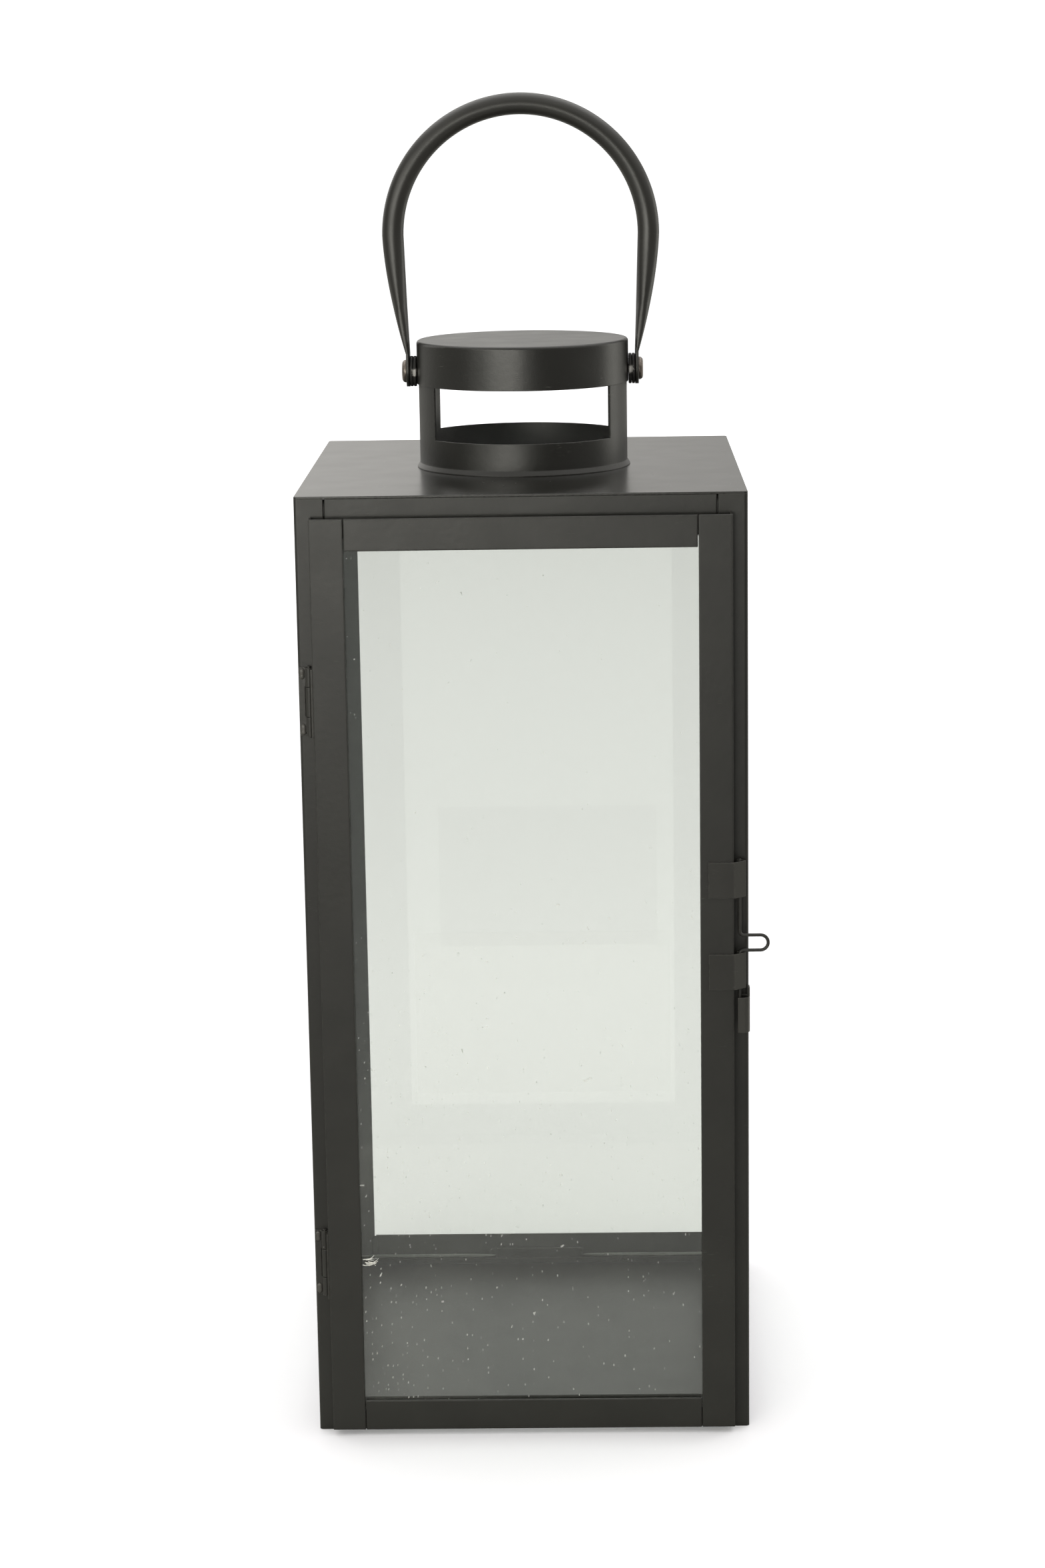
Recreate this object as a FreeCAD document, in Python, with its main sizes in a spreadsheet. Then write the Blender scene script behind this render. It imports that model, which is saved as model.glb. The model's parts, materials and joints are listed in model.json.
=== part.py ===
import FreeCAD, Part
import math
import os
import re

import Sketcher

# Candle lantern: a glazed steel body with a hinged glass door, a round vented chimney and a
# tube bail. Millimetres, +Z up, front door towards -Y. The origin is the middle of the
# footprint of the body, on the surface that the lantern stands on.

SIZES = {
    # body
    "body_width": 200.0,
    "body_depth": 224.0,
    "body_height": 436.5,
    "sheet": 1.0,
    "post_leg": 13.0,
    "post_bend": 1.6,
    "edge_round": 0.3,
    "seam": 0.7,
    "seat": 0.2,
    "top_rail_height": 18.0,
    "bottom_rail_height": 16.3,
    "vent_radius": 45.0,
    # floor tray and panes
    "lip_height": 3.0,
    "lip_sheet": 0.8,
    "glass": 2.0,
    "glass_clear": 0.3,
    "pane_top_gap": 9.0,
    "clip_length": 45.0,
    "clip_height": 8.4,
    "head_clip_height": 20.0,
    "clip_foot": 5.0,
    "clip_sheet": 0.8,
    # chimney
    "collar_radius": 48.75,
    "collar_sheet": 0.8,
    "flare_radius": 50.0,
    "flare_rise": 2.4,
    "window_sill": 14.7,
    "window_height": 27.0,
    "window_angle": 113.0,
    "cap_radius": 49.5,
    "cap_sheet": 0.6,
    "cap_skirt": 20.0,
    "cap_height": 59.0,
    "cap_round": 1.4,
    # bail handle and its pivots
    "pivot_rise": 44.5,
    "hoop_radius": 59.4,
    "hoop_rise": 107.4,
    "tube_radius": 5.0,
    "flat_sheet": 1.7,
    "flat_half_width": 7.2,
    "flat_margin": 1.0,
    "shank_radius": 2.0,
    "shank_clear": 0.08,
    "washer_radius": 7.1,
    "washer": 1.45,
    "washer_clear": 0.1,
    "washer_round": 0.5,
    "head_radius": 5.3,
    "head_height": 1.9,
    "head_round": 1.7,
    "tail_radius": 3.2,
    "tail_height": 1.4,
    # door
    "door_side_gap": 7.0,
    "door_top_gap": 9.0,
    "door_bottom_gap": 3.0,
    "door_depth": 8.0,
    "door_clear": 0.3,
    "stile": 15.0,
    "door_rail": 14.3,
    "glass_lap": 5.0,
    "tab_length": 12.0,
    "tab_depth": 10.5,
    # hinges
    "hinge_height": 31.0,
    "hinge_upper_drop": 97.8,
    "hinge_lower_rise": 64.0,
    "barrel_radius": 1.7,
    "barrel_inset": 2.0,
    "barrel_clear": 0.1,
    "pin_radius": 0.8,
    "pin_clear": 0.05,
    "pin_stand": 0.6,
    "leaf": 0.9,
    "leaf_reach": 4.6,
    "knuckle": 8.6,
    "knuckle_gap": 0.3,
    # latch
    "bolt_radius": 0.75,
    "bolt_side_gap": 1.95,
    "bolt_face_gap": 2.45,
    "bolt_foot": 197.0,
    "bolt_top": 272.2,
    "loop_low": 229.9,
    "loop_pitch": 7.0,
    "loop_reach": 12.8,
    "bend_radius": 1.8,
    "strap_sheet": 0.8,
    "strap_height": 16.5,
    "strap_lap": 11.3,
    "strap_upper_foot": 254.8,
    "strap_lower_foot": 212.4,
    "strap_clear": 1.55,
    "strap_fall": 3.8,
    "strap_tuck": 1.0,
    "strap_fold": 1.6,
    "keeper_foot": 191.8,
    "keeper_height": 16.3,
    "keeper_ear": 4.2,
    "keeper_leaf": 3.7,
    "keeper_over": 0.3,
    "keeper_lip": 5.1,
    "keeper_curl": 2.2,
    "keeper_clear": 0.25,
}

doc = FreeCAD.newDocument("CandleLantern")
sheet = doc.addObject("Spreadsheet::Sheet", "Sizes")
for row, (alias, value) in enumerate(SIZES.items(), start=1):
    sheet.set(f"A{row}", alias)
    sheet.set(f"B{row}", str(value))
    sheet.setAlias(f"B{row}", alias)
doc.recompute()

NODES = []


def bound(formula):
    """Point every size name in a formula at its cell in the sheet."""

    def reference(word):
        name = word.group()
        return f"Sizes.{name}" if name in SIZES else name

    return re.sub(r"[a-z][a-z_]+", reference, str(formula))


def node(item, label):
    """Record a finished sub-part; its label names its file."""
    item.Label = label
    NODES.append(item)
    return item


# ---- Part primitives whose sizes and places are formulas ------------------------------------


def place(item, x, y, z):
    for axis, formula in zip("xyz", (x, y, z)):
        item.setExpression(f"Placement.Base.{axis}", bound(formula))


def turn(item, axis, angle):
    item.Placement.Rotation = FreeCAD.Rotation(FreeCAD.Vector(*axis), angle)


def box(x, y, z):
    """A block from (low, high) formulas along each axis."""
    item = doc.addObject("Part::Box", "Block")
    for prop, (low, high) in zip(("Length", "Width", "Height"), (x, y, z)):
        item.setExpression(prop, bound(f"({high}) - ({low})"))
    place(item, x[0], y[0], z[0])
    return item


def rod(radius, length, base, axis="z"):
    """A cylinder that starts at base and runs along +Z, or along +X or -X for axis x."""
    item = doc.addObject("Part::Cylinder", "Rod")
    item.setExpression("Radius", bound(radius))
    item.setExpression("Height", bound(length))
    if axis == "x":
        turn(item, (0, 1, 0), 90)
    if axis == "-x":
        turn(item, (0, 1, 0), -90)
    place(item, *base)
    return item


def fuse(items):
    item = doc.addObject("Part::MultiFuse", "Joined")
    item.Shapes = items
    return item


def cut(base, tool):
    item = doc.addObject("Part::Cut", "Trimmed")
    item.Base = base
    item.Tool = tool
    return item


def group(items):
    """Separate solids that share one node."""
    item = doc.addObject("Part::Compound", "Group")
    item.Links = items
    return item


# ---- PartDesign bodies ----------------------------------------------------------------------


def new_body(label):
    body = doc.addObject("PartDesign::Body", "Body")
    return node(body, label)


def origin_plane(body, role):
    return next(item for item in body.Origin.OriginFeatures if item.Role == role)


def new_sketch(body, role, lift="0"):
    sketch = body.newObject("Sketcher::SketchObject", "Outline")
    sketch.AttachmentSupport = [(origin_plane(body, role), "")]
    sketch.MapMode = "FlatFace"
    sketch.setExpression("AttachmentOffset.Base.z", bound(lift))
    return sketch


def pin_point(sketch, line, end, point):
    """Hold one end of a line at a pair of formulas, measured from the sketch origin."""
    for kind, formula in zip(("DistanceX", "DistanceY"), point):
        index = sketch.addConstraint(Sketcher.Constraint(kind, -1, 1, line, end, 1.0))
        sketch.setExpression(f"Constraints[{index}]", bound(formula))


def draw_path(sketch, points, closed):
    """Straight lines through points; each point is a pair of formulas."""
    count = len(points)
    spread = [
        FreeCAD.Vector(math.cos(math.tau * step / count), math.sin(math.tau * step / count), 0)
        for step in range(count)
    ]
    first = sketch.GeometryCount
    lines = count if closed else count - 1
    for index in range(lines):
        segment = Part.LineSegment(spread[index], spread[(index + 1) % count])
        sketch.addGeometry(segment, False)
    for index in range(lines):
        follower = first + (index + 1) % count
        if closed or index < lines - 1:
            sketch.addConstraint(
                Sketcher.Constraint("Coincident", first + index, 2, follower, 1)
            )
    for index in range(lines):
        pin_point(sketch, first + index, 1, points[index])
    if not closed:
        pin_point(sketch, first + lines - 1, 2, points[-1])


def draw_circle(sketch, centre, radius):
    circle = sketch.addGeometry(Part.Circle(FreeCAD.Vector(1, 1, 0), FreeCAD.Vector(0, 0, 1), 1), False)
    for kind, formula in zip(("DistanceX", "DistanceY"), centre):
        index = sketch.addConstraint(Sketcher.Constraint(kind, -1, 1, circle, 3, 1.0))
        sketch.setExpression(f"Constraints[{index}]", bound(formula))
    index = sketch.addConstraint(Sketcher.Constraint("Radius", circle, 1.0))
    sketch.setExpression(f"Constraints[{index}]", bound(radius))


def rectangle(x, y):
    return [(x[0], y[0]), (x[1], y[0]), (x[1], y[1]), (x[0], y[1])]


def beside(side, near_x, far_x):
    """A span along X on one side of the middle, from two distances."""
    if side < 0:
        return (f"-({far_x})", f"-({near_x})")
    return (near_x, far_x)


def pad(body, sketch, length):
    item = body.newObject("PartDesign::Pad", "Pad")
    item.Profile = sketch
    item.setExpression("Length", bound(length))
    return item


def revolve(body, sketch, kind="PartDesign::Revolution", angle="360"):
    item = body.newObject(kind, "Turned")
    item.Profile = sketch
    item.ReferenceAxis = (sketch, ["V_Axis"])
    item.Midplane = True
    item.setExpression("Angle", bound(angle))
    return item


def round_edges(body, radius, wanted=None):
    """Round the edges that wanted() picks from the body's last feature, or all of them."""
    doc.recompute()
    base = body.Tip
    names = [
        f"Edge{index}"
        for index, edge in enumerate(base.Shape.Edges, start=1)
        if wanted is None or wanted(edge)
    ]
    item = body.newObject("PartDesign::Fillet", "Rounded")
    item.Base = (base, names)
    item.setExpression("Radius", bound(radius))
    return item


def bar(label, x, y, z):
    """A flat strip or plate with lightly rounded edges."""
    body = new_body(label)
    sketch = new_sketch(body, "XY_Plane", z[0])
    draw_path(sketch, rectangle(x, y), closed=True)
    pad(body, sketch, f"({z[1]}) - ({z[0]})")
    round_edges(body, "edge_round")
    return body


def folded_strip(points, foot, height, thickness):
    """Sheet folded along a path in plan, standing from foot up to its height."""
    body = doc.addObject("PartDesign::Body", "Folded")
    path = new_sketch(body, "XY_Plane", f"{foot} + {height} / 2")
    draw_path(path, points, closed=False)
    section = new_sketch(body, "YZ_Plane", points[0][0])
    across = (f"({points[0][1]}) - {thickness} / 2", f"({points[0][1]}) + {thickness} / 2")
    draw_path(section, rectangle(across, (foot, f"{foot} + {height}")), closed=True)
    pipe = body.newObject("PartDesign::AdditivePipe", "Folds")
    pipe.Profile = section
    pipe.Spine = path
    pipe.Transition = "Right corner"
    return body


def near(value, target):
    return abs(value - target) < 0.01


# ---- body frame -----------------------------------------------------------------------------

HALF_WIDTH = "body_width / 2"
HALF_DEPTH = "body_depth / 2"
UNDER_PLATE = "body_height - sheet"


def corner_post(label, side_x, side_y):
    """Folded angle post at one corner of the body."""
    edge_x = f"{side_x} * body_width / 2"
    edge_y = f"{side_y} * body_depth / 2"
    body = new_body(label)
    sketch = new_sketch(body, "XY_Plane")
    outline = [
        (edge_x, edge_y),
        (f"{edge_x} - {side_x} * post_leg", edge_y),
        (f"{edge_x} - {side_x} * post_leg", f"{edge_y} - {side_y} * sheet"),
        (f"{edge_x} - {side_x} * sheet", f"{edge_y} - {side_y} * sheet"),
        (f"{edge_x} - {side_x} * sheet", f"{edge_y} - {side_y} * post_leg"),
        (edge_x, f"{edge_y} - {side_y} * post_leg"),
    ]
    draw_path(sketch, outline, closed=True)
    pad(body, sketch, UNDER_PLATE)
    half_x = side_x * SIZES["body_width"] / 2
    half_y = side_y * SIZES["body_depth"] / 2

    def outer_corner(edge):
        ends = [vertex.Point for vertex in edge.Vertexes]
        return all(near(end.x, half_x) and near(end.y, half_y) for end in ends)

    def inner_corner(edge):
        ends = [vertex.Point for vertex in edge.Vertexes]
        inside_x = half_x - side_x * SIZES["sheet"]
        inside_y = half_y - side_y * SIZES["sheet"]
        return all(near(end.x, inside_x) and near(end.y, inside_y) for end in ends)

    round_edges(body, "post_bend", outer_corner)
    round_edges(body, "post_bend - sheet", inner_corner)


for side_x, word_x in ((-1, "left"), (1, "right")):
    for side_y, word_y in ((-1, "front"), (1, "back")):
        corner_post(f"post_{word_y}_{word_x}", side_x, side_y)


def frame_rails(prefix, z):
    """Four flat rails between the posts, flush with their outer faces."""
    reach_x = f"{HALF_WIDTH} - post_leg - seam"
    reach_y = f"{HALF_DEPTH} - post_leg - seam"
    along_x = (f"-({reach_x})", reach_x)
    along_y = (f"-({reach_y})", reach_y)
    bar(f"{prefix}_front", along_x, (f"-({HALF_DEPTH})", f"sheet - {HALF_DEPTH}"), z)
    bar(f"{prefix}_back", along_x, (f"{HALF_DEPTH} - sheet", HALF_DEPTH), z)
    bar(f"{prefix}_left", (f"-({HALF_WIDTH})", f"sheet - {HALF_WIDTH}"), along_y, z)
    bar(f"{prefix}_right", (f"{HALF_WIDTH} - sheet", HALF_WIDTH), along_y, z)


frame_rails("top_rail", (f"{UNDER_PLATE} - top_rail_height", UNDER_PLATE))
frame_rails("bottom_rail", ("0", "bottom_rail_height"))


def top_plate():
    body = new_body("top_plate")
    sketch = new_sketch(body, "XY_Plane", UNDER_PLATE)
    across = (f"-({HALF_WIDTH})", HALF_WIDTH)
    along = (f"-({HALF_DEPTH})", HALF_DEPTH)
    draw_path(sketch, rectangle(across, along), closed=True)
    draw_circle(sketch, ("0", "0"), "vent_radius")
    pad(body, sketch, "sheet")

    def corner(edge):
        points = [vertex.Point for vertex in edge.Vertexes]
        return len(points) == 2 and near(points[0].x, points[1].x) and near(points[0].y, points[1].y)

    round_edges(body, "post_bend", corner)

    def upper_rim(edge):
        return all(near(vertex.Point.z, SIZES["body_height"]) for vertex in edge.Vertexes)

    round_edges(body, "edge_round", upper_rim)


top_plate()


# Inner faces of the sheet that the tray and the panes fit against.
INNER_X = f"{HALF_WIDTH} - sheet - seat"
INNER_Y = f"{HALF_DEPTH} - sheet - seat"
LIP_X = f"{INNER_X} - glass - 2 * glass_clear"
LIP_Y = f"{INNER_Y} - glass - 2 * glass_clear"


def floor_tray():
    """Floor plate with a low upstand that keeps the feet of the panes in place."""
    body = new_body("floor_tray")
    floor = new_sketch(body, "XY_Plane")
    draw_path(floor, rectangle((f"-({INNER_X})", INNER_X), (f"-({INNER_Y})", INNER_Y)), closed=True)
    pad(body, floor, "sheet")
    lip = new_sketch(body, "XY_Plane", "sheet")
    draw_path(lip, rectangle((f"-({LIP_X})", LIP_X), (f"-({LIP_Y})", LIP_Y)), closed=True)
    inner_x = f"{LIP_X} - lip_sheet"
    inner_y = f"{LIP_Y} - lip_sheet"
    draw_path(lip, rectangle((f"-({inner_x})", inner_x), (f"-({inner_y})", inner_y)), closed=True)
    pad(body, lip, "lip_height")


floor_tray()

PANE_Z = ("sheet + glass_clear", f"{UNDER_PLATE} - pane_top_gap")
SIDE_PANE_X = (f"{INNER_X} - glass_clear - glass", f"{INNER_X} - glass_clear")
BACK_PANE_Y = (f"{INNER_Y} - glass_clear - glass", f"{INNER_Y} - glass_clear")
BACK_REACH = f"{SIDE_PANE_X[0]} - glass_clear"
SIDE_REACH = f"{INNER_Y} - glass_clear"

bar("glass_back", (f"-({BACK_REACH})", BACK_REACH), BACK_PANE_Y, PANE_Z)
bar("glass_right", SIDE_PANE_X, (f"-({SIDE_REACH})", SIDE_REACH), PANE_Z)
bar("glass_left", (f"-({SIDE_PANE_X[1]})", f"-({SIDE_PANE_X[0]})"), (f"-({SIDE_REACH})", SIDE_REACH), PANE_Z)


HALF_CLIP = "clip_length / 2"
LIP_TOP = "sheet + lip_height"
CLIP_TOP = "sheet + clip_height"
HEAD_CLIP_FOOT = f"{UNDER_PLATE} - head_clip_height"


def pane_clips():
    """Tabs on the lip at the foot of each fixed pane, and angle clips at its head."""
    along = (f"-{HALF_CLIP}", HALF_CLIP)
    foot = (LIP_TOP, CLIP_TOP)
    head = (HEAD_CLIP_FOOT, UNDER_PLATE)
    toe = (f"{UNDER_PLATE} - clip_sheet", UNDER_PLATE)
    leg_y = (f"{LIP_Y} - lip_sheet", LIP_Y)
    clips = [
        box(along, leg_y, foot),
        fuse([box(along, leg_y, head), box(along, (f"{LIP_Y} - clip_foot", LIP_Y), toe)]),
    ]
    for side in (-1, 1):
        leg_x = beside(side, f"{LIP_X} - lip_sheet", LIP_X)
        toe_x = beside(side, f"{LIP_X} - clip_foot", LIP_X)
        clips.append(box(leg_x, along, foot))
        clips.append(fuse([box(leg_x, along, head), box(toe_x, along, toe)]))
    node(group(clips), "pane_clips")


pane_clips()


# ---- chimney --------------------------------------------------------------------------------

PIVOT_Z = "body_height + pivot_rise"
CAP_TOP = "body_height + cap_height"


def pivot_hole(body):
    """Rivet holes straight across a round wall, along X."""
    sketch = new_sketch(body, "YZ_Plane")
    draw_circle(sketch, ("0", PIVOT_Z), "shank_radius + shank_clear")
    doc.recompute()
    hole = body.newObject("PartDesign::Pocket", "PivotHoles")
    hole.Profile = sketch
    hole.Type = "ThroughAll"
    hole.Midplane = True


def chimney_collar():
    """Round collar with a flared foot and a wide window at the front and at the back."""
    body = new_body("chimney_collar")
    inner = "collar_radius - collar_sheet"
    profile = new_sketch(body, "XZ_Plane")
    outline = [
        (inner, "body_height"),
        ("flare_radius", "body_height"),
        ("flare_radius", "body_height + collar_sheet / 2"),
        ("collar_radius", "body_height + flare_rise"),
        ("collar_radius", f"{CAP_TOP} - cap_sheet - glass_clear"),
        (inner, f"{CAP_TOP} - cap_sheet - glass_clear"),
    ]
    draw_path(profile, outline, closed=True)
    revolve(body, profile)
    for side in (-1, 1):
        window = new_sketch(body, "YZ_Plane")
        sill = "body_height + window_sill"
        height = (sill, f"{sill} + window_height")
        across = beside(side, "collar_radius - 4 * collar_sheet", "flare_radius + 4 * collar_sheet")
        draw_path(window, rectangle(across, height), closed=True)
        doc.recompute()
        revolve(body, window, "PartDesign::Groove", "window_angle")
    pivot_hole(body)


chimney_collar()


def chimney_cap():
    """Shallow round lid whose skirt slips over the collar."""
    body = new_body("chimney_cap")
    inner = "cap_radius - cap_sheet"
    profile = new_sketch(body, "XZ_Plane")
    outline = [
        ("0", CAP_TOP),
        ("cap_radius", CAP_TOP),
        ("cap_radius", f"{CAP_TOP} - cap_skirt"),
        (inner, f"{CAP_TOP} - cap_skirt"),
        (inner, f"{CAP_TOP} - cap_sheet"),
        ("0", f"{CAP_TOP} - cap_sheet"),
    ]
    draw_path(profile, outline, closed=True)
    revolve(body, profile)
    top = SIZES["body_height"] + SIZES["cap_height"]

    def upper_rim(edge):
        centre = edge.BoundBox
        wide = near(centre.XMax, SIZES["cap_radius"])
        return wide and near(centre.ZMax, top) and near(centre.ZMin, top)

    round_edges(body, "cap_round", upper_rim)
    pivot_hole(body)


chimney_cap()


# ---- bail handle ----------------------------------------------------------------------------

WASHER_IN = "cap_radius + washer_clear"
WASHER_OUT = f"{WASHER_IN} + washer + washer_clear"
HANDLE_IN = f"{WASHER_OUT} + washer + shank_clear"
HANDLE_OUT = f"{HANDLE_IN} + flat_sheet"
HEAD_IN = f"{HANDLE_OUT} + shank_clear"


def tube_section(x, z, depth, width):
    """One oval section of a leg: depth across X, width across Y."""
    item = doc.addObject("Part::Ellipse", "Oval")
    item.setExpression("MajorRadius", bound(width))
    item.setExpression("MinorRadius", bound(depth))
    turn(item, (0, 0, 1), 90)
    place(item, x, "0", z)
    return item


# Sections of a leg: share of the way down, share of the tube depth left, share of the spread.
LEG_STATIONS = (
    (0.0, 1.0, 0.0),
    (0.14, 0.98, 0.10),
    (0.36, 0.86, 0.32),
    (0.66, 0.52, 0.72),
    (0.90, 0.14, 0.96),
    (1.0, 0.0, 1.0),
)


def handle_leg(side):
    """One leg of the bail: round tube pressed flatter and flatter down to its pivot."""
    hoop_z = "body_height + hoop_rise"
    pivot_top = f"{PIVOT_Z} + flat_half_width + flat_margin"
    sections = []
    for fall, depth_left, spread in LEG_STATIONS:
        depth = f"(flat_sheet / 2 + (tube_radius - flat_sheet / 2) * {depth_left})"
        width = f"(tube_radius + (flat_half_width - tube_radius) * {spread})"
        inner_drift = f"(({HANDLE_IN}) - (hoop_radius - tube_radius)) * {fall}"
        centre = f"hoop_radius - tube_radius + {inner_drift} + {depth}"
        height = f"{hoop_z} - ({hoop_z} - ({pivot_top})) * {fall}"
        sections.append(tube_section(f"{side} * ({centre})", height, depth, width))
    loft = doc.addObject("Part::Loft", "Leg")
    loft.Sections = sections
    loft.Solid = True
    inner = f"{side} * ({HANDLE_IN})"
    outer = f"{side} * ({HANDLE_OUT})"
    span = (inner, outer) if side > 0 else (outer, inner)
    tongue = box(span, ("-flat_half_width", "flat_half_width"), (PIVOT_Z, pivot_top))
    axis = "x" if side > 0 else "-x"
    tip = rod("flat_half_width", "flat_sheet", (inner, "0", PIVOT_Z), axis)
    return [loft, tongue, tip]


def bail_handle():
    hoop = doc.addObject("Part::Torus", "Hoop")
    hoop.setExpression("Radius1", bound("hoop_radius"))
    hoop.setExpression("Radius2", bound("tube_radius"))
    hoop.Angle3 = 180.0
    turn(hoop, (1, 0, 0), 90)
    place(hoop, "0", "0", "body_height + hoop_rise")
    solid = fuse([hoop] + handle_leg(-1) + handle_leg(1))
    reach = "hoop_radius + tube_radius"
    hole = rod("shank_radius + shank_clear", f"2 * ({reach})", (f"-({reach})", "0", PIVOT_Z), "x")
    node(cut(solid, hole), "bail_handle")


bail_handle()


def pivot_rivet(side):
    """Domed rivet from outside the bail to its set tail inside the collar."""
    body = doc.addObject("PartDesign::Body", "Rivet")
    profile = new_sketch(body, "XZ_Plane")
    tail_z = "collar_radius - collar_sheet - seat"
    outline = [
        ("0", f"{tail_z} - tail_height"),
        ("tail_radius", f"{tail_z} - tail_height"),
        ("tail_radius", tail_z),
        ("shank_radius", tail_z),
        ("shank_radius", HEAD_IN),
        ("head_radius", HEAD_IN),
        ("head_radius", f"{HEAD_IN} + head_height"),
        ("0", f"{HEAD_IN} + head_height"),
    ]
    draw_path(profile, outline, closed=True)
    revolve(body, profile)
    doc.recompute()
    face = max(vertex.Point.z for vertex in body.Shape.Vertexes)

    def head_rim(edge):
        limits = edge.BoundBox
        return near(limits.ZMax, face) and near(limits.ZMin, face)

    round_edges(body, "head_round", head_rim)
    turn(body, (0, 1, 0), 90 * side)
    place(body, "0", "0", PIVOT_Z)
    return body


node(group([pivot_rivet(-1), pivot_rivet(1)]), "handle_rivets")


def pivot_washer(side, start):
    """Soft washer with a rounded rim, from a start distance outwards."""
    body = doc.addObject("PartDesign::Body", "Washer")
    profile = new_sketch(body, "XZ_Plane")
    bore = "shank_radius + shank_clear"
    end = f"{start} + washer"
    draw_path(profile, rectangle((bore, "washer_radius"), (start, end)), closed=True)
    revolve(body, profile)

    def outer_rim(edge):
        limits = edge.BoundBox
        return near(limits.XMax, SIZES["washer_radius"]) and near(limits.ZMax, limits.ZMin)

    round_edges(body, "washer_round", outer_rim)
    turn(body, (0, 1, 0), 90 * side)
    place(body, "0", "0", PIVOT_Z)
    return body


def pivot_washers():
    """Two washers on each rivet, one at the cap and one at the bail."""
    washers = [pivot_washer(side, start) for side in (-1, 1) for start in (WASHER_IN, WASHER_OUT)]
    node(group(washers), "pivot_washers")


pivot_washers()


# ---- door -----------------------------------------------------------------------------------

DOOR_EDGE = f"{HALF_WIDTH} - door_side_gap"
DOOR_BACK = f"-({HALF_DEPTH}) - door_clear"
DOOR_FRONT = f"{DOOR_BACK} - door_depth"
DOOR_FOOT = "door_bottom_gap"
DOOR_HEAD = "body_height - door_top_gap"


def door_stile(label, side):
    """Upright of the door: a face strip and an outer flange turned back to the frame."""
    edge = f"{side} * ({DOOR_EDGE})"
    inner = f"{side} * ({DOOR_EDGE} - stile)"
    flange = f"{side} * ({DOOR_EDGE} - sheet)"
    body = new_body(label)
    sketch = new_sketch(body, "XY_Plane", DOOR_FOOT)
    outline = [
        (edge, DOOR_FRONT),
        (inner, DOOR_FRONT),
        (inner, f"{DOOR_FRONT} + sheet"),
        (flange, f"{DOOR_FRONT} + sheet"),
        (flange, DOOR_BACK),
        (edge, DOOR_BACK),
    ]
    draw_path(sketch, outline, closed=True)
    pad(body, sketch, f"{DOOR_HEAD} - {DOOR_FOOT}")
    round_edges(body, "edge_round")


door_stile("door_stile_left", -1)
door_stile("door_stile_right", 1)

RAIL_REACH = f"{DOOR_EDGE} - stile - seam / 2"
RAIL_Y = (DOOR_FRONT, f"{DOOR_FRONT} + sheet")
bar("door_rail_top", (f"-({RAIL_REACH})", RAIL_REACH), RAIL_Y, (f"{DOOR_HEAD} - door_rail", DOOR_HEAD))
bar("door_rail_bottom", (f"-({RAIL_REACH})", RAIL_REACH), RAIL_Y, (DOOR_FOOT, f"{DOOR_FOOT} + door_rail"))

DOOR_GLASS_X = f"{DOOR_EDGE} - stile + glass_lap"
DOOR_GLASS_Y = f"{DOOR_FRONT} + sheet + seat"
bar(
    "door_glass",
    (f"-({DOOR_GLASS_X})", DOOR_GLASS_X),
    (DOOR_GLASS_Y, f"{DOOR_GLASS_Y} + glass"),
    (f"{DOOR_FOOT} + door_rail - glass_lap", f"{DOOR_HEAD} - door_rail + glass_lap"),
)


# Heights of the tabs as shares of the door height.
TAB_SHARES = (0.22, 0.78)


def door_glass_clips():
    """Tabs inside the stiles that press the door glass against the face strips."""
    face = f"{DOOR_GLASS_Y} + glass + seat"
    tabs = []
    for side in (-1, 1):
        span = beside(side, f"{DOOR_EDGE} - sheet - tab_depth", f"{DOOR_EDGE} - sheet")
        for share in TAB_SHARES:
            middle = f"({DOOR_FOOT} + ({DOOR_HEAD} - {DOOR_FOOT}) * {share})"
            height = (f"{middle} - tab_length / 2", f"{middle} + tab_length / 2")
            tabs.append(box(span, (face, f"{face} + clip_sheet"), height))
    node(group(tabs), "door_glass_clips")


door_glass_clips()


# ---- hinges ---------------------------------------------------------------------------------

AXIS_X = f"-({DOOR_EDGE}) - barrel_inset"
AXIS_Y = f"-({HALF_DEPTH}) - barrel_radius - barrel_clear"


def barrel(low, high):
    return rod("barrel_radius", f"({high}) - ({low})", (AXIS_X, AXIS_Y, low))


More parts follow.
